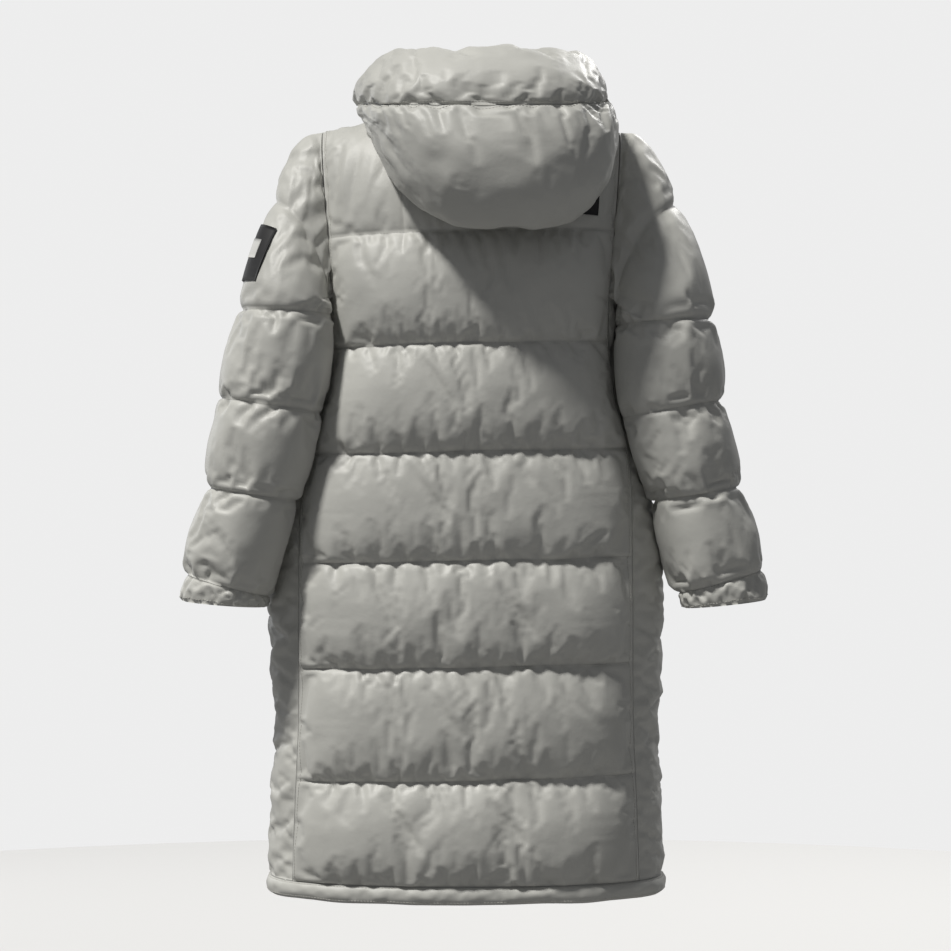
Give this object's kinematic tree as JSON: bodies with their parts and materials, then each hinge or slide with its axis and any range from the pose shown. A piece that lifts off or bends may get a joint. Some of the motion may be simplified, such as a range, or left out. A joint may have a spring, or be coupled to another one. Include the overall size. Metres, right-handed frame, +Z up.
{
  "type": "long puffer coat",
  "caption": "Long quilted padded coat, filled out as if worn, with its hood down, plain side panels and a zipped front.",
  "frame": {"origin": "base of the neck, between the shoulders, where the wearer holds the coat up", "axes": "+Z up towards the head, +Y behind the wearer, +X to the wearer's left"},
  "size_m": [0.8154, 0.3968, 1.197],
  "materials": {
    "shell": "satin-matt light warm grey nylon",
    "lining": "matt dark purple-grey cloth",
    "patch": "matt black cloth",
    "zip_tape": "matt woven tape",
    "zip_metal": "satin"
  },
  "bodies": {
    "coat": {"back": "shell", "side_left": "shell", "side_right": "shell", "front_left": "shell", "front_right": "shell", "hem_band": "shell", "sleeve_left": "shell", "sleeve_right": "shell", "cuff_left": "shell", "cuff_right": "shell", "hood_lower": "shell", "hood_upper": "shell", "hood_lining": "lining", "zip_tape_left": "zip_tape", "zip_tape_right": "zip_tape", "zip_slider": "zip_metal", "sleeve_patch": "patch", "yoke_patch": "patch"},
    "pull_tab": {"zip_pull": "zip_metal"}
  },
  "joints": [
    {"name": "pull_tab_hinge", "type": "hinge", "parent": "coat", "child": "pull_tab", "pos_m": [0, -0.11032, 0.0766], "axis": [-1, 0, 0], "range_deg": [0, 110]}
  ]
}
